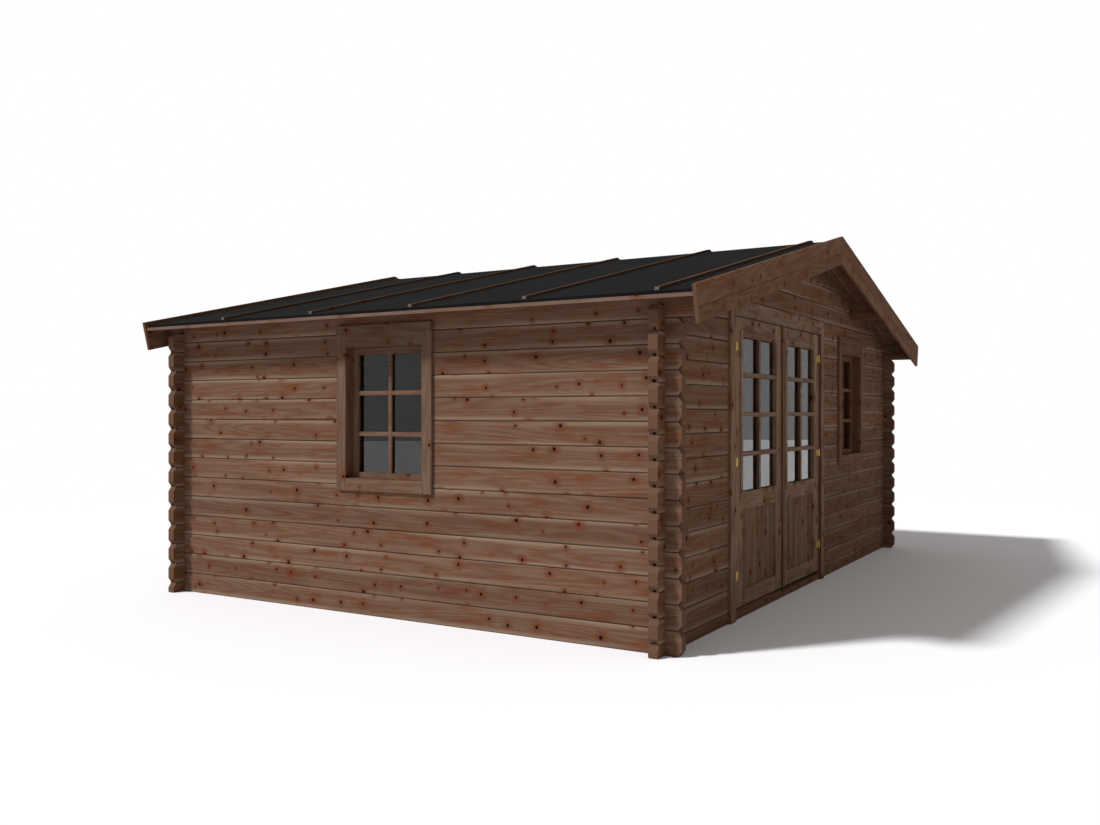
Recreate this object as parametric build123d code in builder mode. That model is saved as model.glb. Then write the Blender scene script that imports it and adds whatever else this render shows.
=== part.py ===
from build123d import *
import os
from math import cos, radians, sin, tan

os.makedirs("parts", exist_ok=True)

# Garden cabin of interlocked planed logs. Millimetres, +Z up, the gable front with
# the double door faces -Y. The origin is on the ground under the middle of the floor.

# Walls
log_height = 145.0         # one course
log_thickness = 58.0
side_courses = 14          # whole logs in a side wall
cabin_width = 5330.0       # across the gable front, outer face to outer face
cabin_depth = 4050.0
log_end = 100.0            # how far each log runs on past the wall that it crosses
seat = 0.3                 # play between pieces that bear on each other
joint_bevel_depth = 5.0    # V-joint between courses
joint_bevel_height = 8.0
tongue_width = 20.0
tongue_height = 8.0
groove_play = 9.0          # groove deeper than its tongue; a hole at each log end
end_cut_height = 35.0      # corners taken off each log end, giving the zigzag edge
end_cut_depth = 26.0

# Roof
roof_pitch = 13.24
deck_thickness = 39.0
felt_thickness = 3.0
ridge_flat = 38.0          # half width of the flat that is planed along the ridge
eave_run = 200.0           # deck edge outside the side wall
front_overhang = 261.0     # front wall to the back of the front bargeboards
purlin_width = 58.0
purlin_height = 145.0
eave_lath_thickness = 16.0
eave_lath_height = 21.0
eave_lath_drop = 20.5      # felt's top to the lath's top
board_depth = 209.0        # bargeboard, square to the slope
board_thickness = 22.0
board_rise = 25.5          # bargeboard top above the felt, square to the slope
board_end = 237.0          # top corner of a bargeboard outside the side wall
batten_width = 28.0
batten_thickness = 16.5
batten_pitch = 851.0
batten_count = 5
first_batten = 29.0        # centre of the first batten in front of the front wall
batten_eave_gap = 28.0

# Floor
joist_height = 45.0
joist_width = 58.0
joist_count = 7
floor_thickness = 19.0

# Door
door_centre = -631.0
door_half = 940.0          # middle of the doorway to a hinge axis
door_head = 1990.0         # underside of the frame's head
edge_gap = 3.0             # hinge axis to the leaf's edge, and to the post's face
meeting_gap = 7.0          # between the two leaves
head_gap = 5.0
sill_gap = 5.5
leaf_thickness = 40.0
stile_width = 125.0
top_rail = 128.0
mid_rail = 119.0
bottom_rail = 106.0
glazing_frame_width = 42.0      # raised frame planted round each leaf's glass
glazing_frame_thickness = 8.0
glass_bottom = 830.0
door_glass_depth = 18.0    # leaf's outer face to the glass
panel_depth = 11.0         # leaf's outer face to the boarded panel
panel_thickness = 16.0
rebate = 10.0              # how far glass and panels sit in their grooves
glass_thickness = 4.0
cover_strip_width = 45.0
cover_strip_thickness = 14.0
post_width = 42.0
frame_depth = 85.0
stop_gap = 5.0
stop_width = 24.0
head_height = 45.0
door_casing_width = 90.0
door_casing_reveal = 30.0  # hinge axis to the casing's inner edge
casing_thickness = 18.0
hinge_height = 54.0        # both knuckles together
hinge_heights = (291.0, 1032.0, 1790.0)
hinge_plate_height = 48.0
leaf_plate = 38.0
frame_plate = 21.0
hinge_plate_thickness = 2.5
knuckle_radius = 7.0
knuckle_clear = 0.3        # knuckle to the faces that its plates lie on
knuckle_gap = 0.5          # between the two knuckles of one hinge
plate_start = 8.5          # hinge axis to the near edge of each plate
pin_radius = 4.0
pin_play = 0.05
pin_reach = 20.0
finial_radius = 4.5
finial_height = 7.0

# Windows, each of one sash with its glass, set deep in a boxed frame
window_light_width = 640.0
window_light_height = 875.0
window_frame_width = 45.0
window_sill_height = 46.0
window_frame_depth = 102.0
sash_depth = 55.0          # wall's outer face to the sash's face
sash_thickness = 40.0
sash_stile = 45.0
sash_bottom_rail = 36.0
sash_glass_depth = 20.0
casing_step = 4.0
window_casing_side = 80.0
window_casing_top = 90.0
window_casing_bottom = 80.0
drip_height = 54.0
drip_thickness = 26.0
side_window_course = 6     # whole courses under a side window
window_courses = 7         # courses that a window's opening is high
front_window_centre = 1302.0

# Worked out from the sizes above
half_width = cabin_width / 2
half_depth = cabin_depth / 2
wall_top = side_courses * log_height
slope = tan(radians(roof_pitch))
plumb = 1 / cos(radians(roof_pitch))
half_log = log_height / 2
bargeboard_front = half_depth + front_overhang
rear_end = half_depth + log_end
post_face = door_half + edge_gap
door_opening_half = post_face + post_width
knuckle_offset = knuckle_radius + knuckle_clear
window_opening_half = window_light_width / 2 + window_frame_width
sill_log_top = half_log - seat

front_face = Plane(origin=(0, -half_depth, 0), x_dir=(1, 0, 0), z_dir=(0, -1, 0))
back_face = Plane(origin=(0, half_depth, 0), x_dir=(-1, 0, 0), z_dir=(0, 1, 0))
left_face = Plane(origin=(-half_width, 0, 0), x_dir=(0, -1, 0), z_dir=(-1, 0, 0))


def save(name, piece):
    """Label a finished piece with its node's name and write it."""
    piece.label = name
    export_step(piece, f"parts/{name}.step")


def roof_z(x):
    """Height of the deck's underside, at x from the middle of the cabin."""
    return wall_top + slope * (half_width - log_thickness - abs(x))


def box_in_sketch(left, right, low, high, mode=Mode.ADD):
    """A rectangle in the open sketch, given by its edges."""
    with Locations(((left + right) / 2, (low + high) / 2)):
        Rectangle(right - left, high - low, mode=mode)


def board(face, left, right, low, high, outer, thickness):
    """A board in the open part: its edges on a wall's face, and how far out it starts."""
    with BuildSketch(face.offset(outer)) as outline:
        box_in_sketch(left, right, low, high)
    extrude(outline.sketch, amount=-thickness)


# Log walls
# Each course is one planed log with a tongue on top, a groove below and bevelled long
# edges. Side walls start with a whole log and gable walls with half of one, so at the
# corners each log is notched by a quarter of its height above and below.

def log_section(low, high, grooved):
    """One log's cross-section in the open sketch: x is depth into the wall, y height."""
    inner = log_thickness
    bevel = joint_bevel_depth
    rise = joint_bevel_height
    Polygon(
        (0, low + rise), (bevel, low), (inner - bevel, low), (inner, low + rise),
        (inner, high - rise), (inner - bevel, high), (bevel, high), (0, high - rise),
        align=None,
    )
    box_in_sketch(
        (inner - tongue_width) / 2, (inner + tongue_width) / 2, high, high + tongue_height
    )
    if grooved:
        groove = tongue_width + 2 * seat
        box_in_sketch(
            (inner - groove) / 2, (inner + groove) / 2, low, low + tongue_height + groove_play,
            mode=Mode.SUBTRACT,
        )


def corner_cuts(half_length, joints, ends):
    """Notches and end cuts at every joint height, at the given ends (-1 and 1)."""
    for joint in joints:
        for end in ends:
            with Locations((end * (half_length - log_thickness / 2), joint)):
                Rectangle(log_thickness + 2 * seat, half_log + seat, mode=Mode.SUBTRACT)
            tip = end * (half_length + log_end)
            Polygon(
                (tip, joint - end_cut_height), (tip, joint + end_cut_height),
                (tip - end * end_cut_depth, joint), align=None, mode=Mode.SUBTRACT,
            )


def courses(first, count):
    """Bottom and top height of each log, from the first joint up."""
    return [
        (first + row * log_height, first + (row + 1) * log_height - seat) for row in range(count)
    ]


def run_of_logs(face, start, end, logs, whole_first=False):
    """Extrude a stack of log sections along a wall's face in the open part."""
    section = Plane(
        origin=face.from_local_coords(Vector(start, 0, 0)), x_dir=-face.z_dir, z_dir=face.x_dir
    )
    with BuildSketch(section) as stack:
        for number, (low, high) in enumerate(logs):
            log_section(low, high, grooved=number > 0 or not whole_first)
        if face is left_face:
            Polygon(
                (0, 0), (log_thickness, 0), (log_thickness, wall_top),
                (0, roof_z(half_width)), align=None, mode=Mode.INTERSECT,
            )
    extrude(stack.sketch, amount=end - start)


side_logs = courses(0, side_courses)
side_joints = [low for low, high in side_logs] + [wall_top]
opening_low = side_window_course * log_height
opening_high = opening_low + window_courses * log_height

with BuildPart() as left_wall_logs:
    run_of_logs(left_face, -rear_end, bargeboard_front, side_logs, whole_first=True)
    with BuildSketch(left_face):
        box_in_sketch(-rear_end, half_depth + log_end, 0, wall_top)
        corner_cuts(half_depth, side_joints, (-1, 1))
        box_in_sketch(
            half_depth, bargeboard_front, wall_top - log_height, wall_top
        )
        box_in_sketch(
            -window_opening_half, window_opening_half, opening_low - seat, opening_high,
            mode=Mode.SUBTRACT,
        )
    extrude(amount=-log_thickness, mode=Mode.INTERSECT)
save("left_wall_logs", left_wall_logs.part)

with BuildPart() as right_wall_logs:
    add(mirror(left_wall_logs.part, about=Plane.YZ))
save("right_wall_logs", right_wall_logs.part)


def gable_outline():
    """What the roof leaves of a gable wall: log ends below the eaves, slopes above."""
    step = wall_top - half_log
    return [
        (-half_width - log_end, 0), (half_width + log_end, 0),
        (half_width + log_end, step), (half_width, step), (half_width, roof_z(half_width)),
        (0, roof_z(0)), (-half_width, roof_z(half_width)), (-half_width, step),
        (-half_width - log_end, step),
    ]


gable_courses = side_courses
while half_log + gable_courses * log_height < roof_z(0):
    gable_courses += 1
gable_logs = courses(half_log, gable_courses)
gable_joints = [low for low, high in gable_logs]
purlin_places = (-half_width / 2, 0, half_width / 2)


def purlin_low(x):
    """Underside of the purlin at x."""
    return roof_z(x) - purlin_height


def gable_part(face, start, end, logs, holes, whole_first=False):
    """A gable wall or a piece of one in the open part."""
    run_of_logs(face, start, end, logs, whole_first)
    with BuildSketch(face) as outline:
        box_in_sketch(start, end, logs[0][0], logs[-1][1] + tongue_height)
        corner_cuts(half_width, gable_joints, (-1, 1))
        for x in purlin_places:
            box_in_sketch(
                x - purlin_width / 2 - seat, x + purlin_width / 2 + seat,
                purlin_low(x) - seat, roof_z(0), mode=Mode.SUBTRACT,
            )
        for left, right, low, high in holes:
            box_in_sketch(left, right, low, high, mode=Mode.SUBTRACT)
        Polygon(*gable_outline(), align=None, mode=Mode.INTERSECT)
    extrude(outline.sketch, amount=-log_thickness, mode=Mode.INTERSECT)


wall_end = half_width + log_end
half_log_course = (0, sill_log_top)
front_opening_low = opening_low + half_log
front_opening_high = opening_high + half_log
front_window_hole = (
    front_window_centre - window_opening_half, front_window_centre + window_opening_half,
    front_opening_low - seat, front_opening_high,
)
doorway_hole = (
    door_centre - door_opening_half, door_centre + door_opening_half, sill_log_top, log_height
)

with BuildPart() as door_sill_log:
    gable_part(
        front_face, -wall_end, wall_end, [half_log_course], [doorway_hole], whole_first=True
    )
save("door_sill_log", door_sill_log.part)

with BuildPart() as front_wall_left_logs:
    gable_part(
        front_face, -wall_end, door_centre - door_opening_half, gable_logs[:side_courses], []
    )
save("front_wall_left_logs", front_wall_left_logs.part)

with BuildPart() as front_wall_right_logs:
    gable_part(
        front_face, door_centre + door_opening_half, wall_end, gable_logs[:side_courses],
        [front_window_hole],
    )
save("front_wall_right_logs", front_wall_right_logs.part)

with BuildPart() as front_gable_logs:
    gable_part(front_face, -wall_end, wall_end, gable_logs[side_courses:], [])
save("front_gable_logs", front_gable_logs.part)

with BuildPart() as back_wall_logs:
    gable_part(
        back_face, -wall_end, wall_end, [half_log_course] + gable_logs, [], whole_first=True
    )
save("back_wall_logs", back_wall_logs.part)

# Floor
# Impregnated joists lie on the ground inside the walls and carry the boards.

inside_width = cabin_width - 2 * log_thickness - 2 * seat
inside_depth = cabin_depth - 2 * log_thickness - 2 * seat

with BuildPart() as floor_joists:
    with BuildSketch():
        with GridLocations((inside_width - joist_width) / (joist_count - 1), 1, joist_count, 1):
            Rectangle(joist_width, inside_depth)
    extrude(amount=joist_height)
save("floor_joists", floor_joists.part)

with BuildPart() as floor_boards:
    with BuildSketch(Plane.XY.offset(joist_height)):
        Rectangle(inside_width, inside_depth)
    extrude(amount=floor_thickness)
save("floor_boards", floor_boards.part)

# Roof
# Purlins pass through both gables. The deck, its felt and the battens over the felt's
# seams lie on each slope, between the bargeboards. The ridge is planed flat for the felt,
# and the battens meet above it in a peak. The felt is turned down over the deck's edge at
# the eave, where a lath holds it.

roof_rear = Plane.XZ.offset(-rear_end)
roof_length = rear_end + bargeboard_front


def band(run, low, high, low_flat=0, high_flat=0):
    """Outline of a layer on the left slope, at heights square to the deck's underside."""
    foot = roof_z(run)
    return [
        (-run, foot + low * plumb), (-low_flat, roof_z(low_flat) + low * plumb),
        (0, roof_z(low_flat) + low * plumb), (0, roof_z(high_flat) + high * plumb),
        (-high_flat, roof_z(high_flat) + high * plumb), (-run, foot + high * plumb),
    ]


with BuildPart() as roof_purlins:
    with BuildSketch(roof_rear):
        for x in purlin_places:
            edge = purlin_width / 2
            Polygon(
                (x - edge, purlin_low(x)), (x + edge, purlin_low(x)),
                (x + edge, roof_z(x + edge)), (x, roof_z(x)), (x - edge, roof_z(x - edge)),
                align=None,
            )
    extrude(amount=roof_length)
save("roof_purlins", roof_purlins.part)

deck_edge = half_width + eave_run
felt_top = deck_thickness + felt_thickness
felt_edge = roof_z(deck_edge) + felt_top * plumb
lath_top = felt_edge - eave_lath_drop

with BuildPart() as left_roof_deck:
    with BuildSketch(roof_rear):
        Polygon(
            *band(deck_edge - felt_thickness, 0, deck_thickness, 0, ridge_flat), align=None
        )
    extrude(amount=roof_length)
save("left_roof_deck", left_roof_deck.part)

with BuildPart() as left_roof_felt:
    with BuildSketch(roof_rear):
        Polygon(*band(deck_edge, deck_thickness, felt_top, ridge_flat, ridge_flat), align=None)
        box_in_sketch(
            -deck_edge, -deck_edge + felt_thickness, lath_top - eave_lath_height, felt_edge
        )
    extrude(amount=roof_length)
save("left_roof_felt", left_roof_felt.part)

with BuildPart() as left_roof_battens:
    for number in range(batten_count):
        centre = -half_depth - first_batten + number * batten_pitch
        with BuildSketch(Plane.XZ.offset(-centre - batten_width / 2)):
            Polygon(
                *band(deck_edge - batten_eave_gap, felt_top, felt_top + batten_thickness),
                align=None,
            )
        extrude(amount=batten_width)
save("left_roof_battens", left_roof_battens.part)

with BuildPart() as eave_laths:
    with BuildSketch(roof_rear):
        for inner in (-deck_edge, deck_edge + eave_lath_thickness):
            box_in_sketch(
                inner - eave_lath_thickness, inner, lath_top - eave_lath_height, lath_top
            )
    extrude(amount=roof_length)
save("eave_laths", eave_laths.part)


def bargeboard(name, rear_face):
    """Left board of a pair: square end at the eave, plumb cut where the pair meets."""
    tip_x = -half_width - board_end
    tip_z = roof_z(tip_x) + (felt_top + board_rise) * plumb
    lift = (felt_top + board_rise) * plumb
    with BuildPart() as left_board:
        with BuildSketch(Plane.XZ.offset(rear_face)):
            Polygon(
                (tip_x, tip_z),
                (tip_x + board_depth * sin(radians(roof_pitch)), tip_z - board_depth / plumb),
                (0, roof_z(0) + lift - board_depth * plumb),
                (0, roof_z(0) + lift),
                align=None,
            )
        extrude(amount=board_thickness)
    save(f"{name}_left_bargeboard", left_board.part)
    with BuildPart() as right_board:
        add(mirror(left_board.part, about=Plane.YZ))
    save(f"{name}_right_bargeboard", right_board.part)


bargeboard("front", bargeboard_front)
bargeboard("rear", -rear_end - board_thickness)

for layer, piece in (
    ("roof_deck", left_roof_deck), ("roof_felt", left_roof_felt),
    ("roof_battens", left_roof_battens),
):
    with BuildPart() as right_layer:
        add(mirror(piece.part, about=Plane.YZ))
    save(f"right_{layer}", right_layer.part)


# Windows
# A boxed frame lines the opening and stands on the log below it. Its head stays under
# the log above, so that the wall can settle, and the casing hides that gap.

def window(name, face, centre, opening_bottom, opening_top):
    """Frame, casing, sash and glass of one window on a wall's face."""
    left = centre - window_light_width / 2
    right = centre + window_light_width / 2
    low = opening_bottom + window_sill_height
    high = low + window_light_height
    outer_left = left - window_frame_width
    outer_right = right + window_frame_width

    with BuildPart() as frame:
        board(face, outer_left, outer_right, opening_bottom, low - seat, 0, window_frame_depth)
        board(
            face, outer_left, outer_right, high + seat, high + window_frame_width,
            0, window_frame_depth,
        )
        board(face, outer_left, left, low, high, 0, window_frame_depth)
        board(face, right, outer_right, low, high, 0, window_frame_depth)

    casing_left = left - casing_step
    casing_right = right + casing_step
    casing_low = low - casing_step
    casing_high = high + casing_step
    casing_foot = casing_low - window_casing_bottom
    casing_head = casing_high + window_casing_top
    with BuildPart() as casing:
        board(
            face, casing_left - window_casing_side, casing_left - seat, casing_foot, casing_head,
            casing_thickness, casing_thickness,
        )
        board(
            face, casing_right + seat, casing_right + window_casing_side, casing_foot,
            casing_head, casing_thickness, casing_thickness,
        )
        board(
            face, casing_left, casing_right, casing_foot, casing_low,
            casing_thickness, casing_thickness,
        )
        board(
            face, casing_left, casing_right, casing_high, casing_head,
            casing_thickness, casing_thickness,
        )
        board(
            face, casing_left - window_casing_side, casing_right + window_casing_side,
            casing_head + seat, casing_head + drip_height, drip_thickness, drip_thickness,
        )

    pane_left = left + sash_stile - rebate
    pane_right = right - sash_stile + rebate
    pane_low = low + sash_bottom_rail - rebate
    pane_high = high - sash_stile + rebate
    with BuildPart() as sash:
        board(face, left + seat, left + sash_stile, low + seat, high - seat,
              -sash_depth, sash_thickness)
        board(face, right - sash_stile, right - seat, low + seat, high - seat,
              -sash_depth, sash_thickness)
        for rail_low, rail_high in (
            (low + seat, low + sash_bottom_rail), (high - sash_stile, high - seat),
        ):
            board(
                face, left + sash_stile + seat, right - sash_stile - seat,
                rail_low, rail_high, -sash_depth, sash_thickness,
            )
        with BuildSketch(face.offset(-sash_depth - sash_glass_depth)):
            box_in_sketch(pane_left, pane_right, pane_low, pane_high)
        extrude(amount=-glass_thickness, mode=Mode.SUBTRACT)

    with BuildPart() as glass:
        board(face, pane_left, pane_right, pane_low, pane_high,
              -sash_depth - sash_glass_depth, glass_thickness)

    return {
        f"{name}_window_frame": frame.part, f"{name}_window_casing": casing.part,
        f"{name}_window_sash": sash.part, f"{name}_window_glass": glass.part,
    }


for name, piece in window("left", left_face, 0, opening_low, opening_high).items():
    save(name, piece)
    with BuildPart() as right_piece:
        add(mirror(piece, about=Plane.YZ))
    save(name.replace("left", "right"), right_piece.part)

front_window = window(
    "front", front_face, front_window_centre, front_opening_low, front_opening_high
)
for name, piece in front_window.items():
    save(name, piece)

# Door frame and casing
# Two posts stand on the sill log under a head. Stops are planted behind the leaves.

post_left = door_centre - post_face
post_right = door_centre + post_face
stop_depth = leaf_thickness + stop_gap
stop_thickness = frame_depth - stop_depth

with BuildPart() as door_frame:
    board(front_face, post_left - post_width, post_left, half_log, door_head - seat,
          0, frame_depth)
    board(front_face, post_right, post_right + post_width, half_log, door_head - seat,
          0, frame_depth)
    board(
        front_face, post_left - post_width, post_right + post_width,
        door_head, door_head + head_height, 0, frame_depth,
    )
    board(front_face, post_left + seat, post_left + stop_width, half_log, door_head - seat,
          -stop_depth, stop_thickness)
    board(front_face, post_right - stop_width, post_right - seat, half_log, door_head - seat,
          -stop_depth, stop_thickness)
    board(
        front_face, post_left + stop_width + seat, post_right - stop_width - seat,
        door_head - stop_width, door_head - seat, -stop_depth, stop_thickness,
    )
save("door_frame", door_frame.part)

casing_inner = door_half + door_casing_reveal
door_casing_top = half_log + side_courses * log_height - joint_bevel_height
with BuildPart() as door_casing:
    for side in (-1, 1):
        near = door_centre + side * casing_inner
        far = door_centre + side * (casing_inner + door_casing_width)
        board(front_face, min(near, far), max(near, far), 0, door_casing_top,
              casing_thickness, casing_thickness)
    board(
        front_face, door_centre - casing_inner + seat, door_centre + casing_inner - seat,
        door_head, door_casing_top, casing_thickness, casing_thickness,
    )
save("door_casing", door_casing.part)

# Door leaves
# Stiles and rails of equal thickness hold a pane above and a boarded panel below. A
# raised frame goes round the pane.
# Hinges are lift-off: the frame's half carries the pin, the leaf's half turns on it.

leaf_left = door_centre - door_half + edge_gap
leaf_right = door_centre - meeting_gap / 2
leaf_low = half_log + sill_gap
leaf_high = door_head - head_gap
opening_left = leaf_left + stile_width
opening_right = leaf_right - stile_width
glass_top = leaf_high - top_rail
panel_low = leaf_low + bottom_rail
panel_high = glass_bottom - mid_rail

with BuildPart() as left_leaf_frame:
    board(front_face, leaf_left, opening_left - seat, leaf_low, leaf_high, 0, leaf_thickness)
    board(front_face, opening_right + seat, leaf_right, leaf_low, leaf_high, 0, leaf_thickness)
    for low, high in ((leaf_low, panel_low), (panel_high, glass_bottom), (glass_top, leaf_high)):
        board(front_face, opening_left, opening_right, low, high, 0, leaf_thickness)
    frame_low = glass_bottom - glazing_frame_width
    frame_high = glass_top + glazing_frame_width
    for left, right in (
        (opening_left - glazing_frame_width, opening_left - seat),
        (opening_right + seat, opening_right + glazing_frame_width),
    ):
        board(front_face, left, right, frame_low, frame_high,
              glazing_frame_thickness, glazing_frame_thickness)
    for low, high in ((frame_low, glass_bottom), (glass_top, frame_high)):
        board(front_face, opening_left, opening_right, low, high,
              glazing_frame_thickness, glazing_frame_thickness)
    with BuildSketch(front_face.offset(-door_glass_depth)):
        box_in_sketch(
            opening_left - rebate, opening_right + rebate, glass_bottom - rebate,
            glass_top + rebate,
        )
    extrude(amount=-glass_thickness, mode=Mode.SUBTRACT)
    with BuildSketch(front_face.offset(-panel_depth)):
        box_in_sketch(
            opening_left - rebate, opening_right + rebate, panel_low - rebate,
            panel_high + rebate,
        )
    extrude(amount=-panel_thickness, mode=Mode.SUBTRACT)

with BuildPart() as left_leaf_glass:
    board(
        front_face, opening_left - rebate, opening_right + rebate, glass_bottom - rebate,
        glass_top + rebate, -door_glass_depth, glass_thickness,
    )

with BuildPart() as left_leaf_panel:
    board(
        front_face, opening_left - rebate, opening_right + rebate, panel_low - rebate,
        panel_high + rebate, -panel_depth, panel_thickness,
    )


def hinge_half(z, side, upward):
    """Plate and knuckle of one hinge half in the open part; the leaf's half is on top."""
    axis_x = door_centre - door_half
    low = z + knuckle_gap / 2 if upward else z - hinge_height / 2
    high = z + hinge_height / 2 if upward else z - knuckle_gap / 2
    width = leaf_plate if upward else frame_plate
    plates = (axis_x + side * plate_start, axis_x + side * (plate_start + width))
    board(front_face, min(plates), max(plates), z - hinge_plate_height / 2,
          z + hinge_plate_height / 2, hinge_plate_thickness, hinge_plate_thickness)
    webs = (axis_x, axis_x + side * plate_start)
    board(front_face, min(webs), max(webs), low, high,
          hinge_plate_thickness, hinge_plate_thickness - knuckle_clear)
    centre = (axis_x, -half_depth - knuckle_offset)
    with BuildSketch(Plane.XY.offset(low)) as knuckle:
        with Locations(centre):
            Circle(knuckle_radius)
    extrude(knuckle.sketch, amount=high - low)
    tip = Plane(
        origin=(*centre, high if upward else low), z_dir=(0, 0, 1 if upward else -1)
    )
    with Locations(tip):
        Cone(
            finial_radius, finial_radius / 2, finial_height,
            align=(Align.CENTER, Align.CENTER, Align.MIN),
        )
    if upward:
        with BuildSketch(Plane.XY.offset(low)) as bore:
            with Locations(centre):
                Circle(pin_radius + pin_play)
        extrude(bore.sketch, amount=pin_reach + 2 * knuckle_gap, mode=Mode.SUBTRACT)
    else:
        with BuildSketch(Plane.XY.offset(high)) as pin:
            with Locations(centre):
                Circle(pin_radius)
        extrude(pin.sketch, amount=pin_reach)


with BuildPart() as left_leaf_hinges:
    for z in hinge_heights:
        hinge_half(z, 1, True)

with BuildPart() as left_frame_hinges:
    for z in hinge_heights:
        hinge_half(z, -1, False)

door_middle = Plane.YZ.offset(door_centre)
for name, piece in (
    ("leaf_frame", left_leaf_frame), ("leaf_glass", left_leaf_glass),
    ("leaf_panel", left_leaf_panel), ("leaf_hinges", left_leaf_hinges),
):
    save(f"left_{name}", piece.part)
    with BuildPart() as right_piece:
        add(mirror(piece.part, about=door_middle))
    save(f"right_{name}", right_piece.part)

with BuildPart() as door_frame_hinges:
    add(left_frame_hinges.part)
    add(mirror(left_frame_hinges.part, about=door_middle))
save("door_frame_hinges", door_frame_hinges.part)

strip_left = door_centre + meeting_gap / 2
with BuildPart() as right_leaf_cover_strip:
    board(front_face, strip_left, strip_left + cover_strip_width, leaf_low, leaf_high,
          cover_strip_thickness, cover_strip_thickness)
save("right_leaf_cover_strip", right_leaf_cover_strip.part)
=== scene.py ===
import math

import bpy
from mathutils import Matrix, Vector


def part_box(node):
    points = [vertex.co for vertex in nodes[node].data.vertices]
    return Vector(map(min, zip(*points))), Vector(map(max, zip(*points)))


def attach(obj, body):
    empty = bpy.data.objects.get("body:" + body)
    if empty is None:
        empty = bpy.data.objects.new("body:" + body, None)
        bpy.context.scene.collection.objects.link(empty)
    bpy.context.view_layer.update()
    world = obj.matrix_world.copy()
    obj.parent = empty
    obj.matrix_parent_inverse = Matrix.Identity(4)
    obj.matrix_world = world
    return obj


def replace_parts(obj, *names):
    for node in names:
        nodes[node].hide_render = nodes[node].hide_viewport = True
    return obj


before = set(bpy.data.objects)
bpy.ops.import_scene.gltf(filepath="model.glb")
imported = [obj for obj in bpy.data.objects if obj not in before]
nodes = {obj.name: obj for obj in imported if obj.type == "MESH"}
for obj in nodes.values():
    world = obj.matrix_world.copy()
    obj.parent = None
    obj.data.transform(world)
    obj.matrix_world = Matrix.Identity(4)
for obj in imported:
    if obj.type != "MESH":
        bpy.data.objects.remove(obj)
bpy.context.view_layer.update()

# Log walls
# Planed spruce logs, one course 145 mm high, pressure impregnated brown. The flat-sawn grain
# shows as long arches, with dark knots, reddish wood round them and paler edges by the joints.
# They lie dry on each other, tongue in groove, and cross at the corners in sawn notches.

course = 0.145
door_middle = (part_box("left_leaf_frame")[0].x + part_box("right_leaf_frame")[1].x) / 2
door_half = 0.940        # from the door's middle to a hinge axis
door_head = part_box("front_gable_logs")[0].z + 0.010


def linear(colour):
    """A #rrggbb colour as the linear values that a shader takes."""
    parts = [int(colour[i:i + 2], 16) / 255 for i in (1, 3, 5)]
    return [c / 12.92 if c <= 0.04045 else ((c + 0.055) / 1.055) ** 2.4 for c in parts] + [1]


def node(tree, kind, sockets=None, **settings):
    """Adds a node; a socket takes a value, another node's socket or a node for its first one."""
    made = tree.nodes.new(kind)
    for name, value in settings.items():
        setattr(made, name, value)
    for name, value in (sockets or {}).items():
        if isinstance(value, bpy.types.Node):
            value = value.outputs[0]
        if isinstance(value, bpy.types.NodeSocket):
            tree.links.new(value, made.inputs[name])
        else:
            made.inputs[name].default_value = value
    return made


def new_finish(name):
    """A material and its node tree, still empty."""
    material = bpy.data.materials.new(name)
    material.use_nodes = True
    material.node_tree.nodes.clear()
    return material, material.node_tree


def grain(tree, timber, waves, detail, roughness=0.5):
    """A pattern drawn out along the timber: waves a metre along, across and through it."""
    drawn_out = node(tree, "ShaderNodeVectorMath", {0: timber, 1: waves}, operation="MULTIPLY")
    return node(tree, "ShaderNodeTexNoise", {
        "Vector": drawn_out, "Scale": 1.0, "Detail": detail, "Roughness": roughness,
    })


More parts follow.
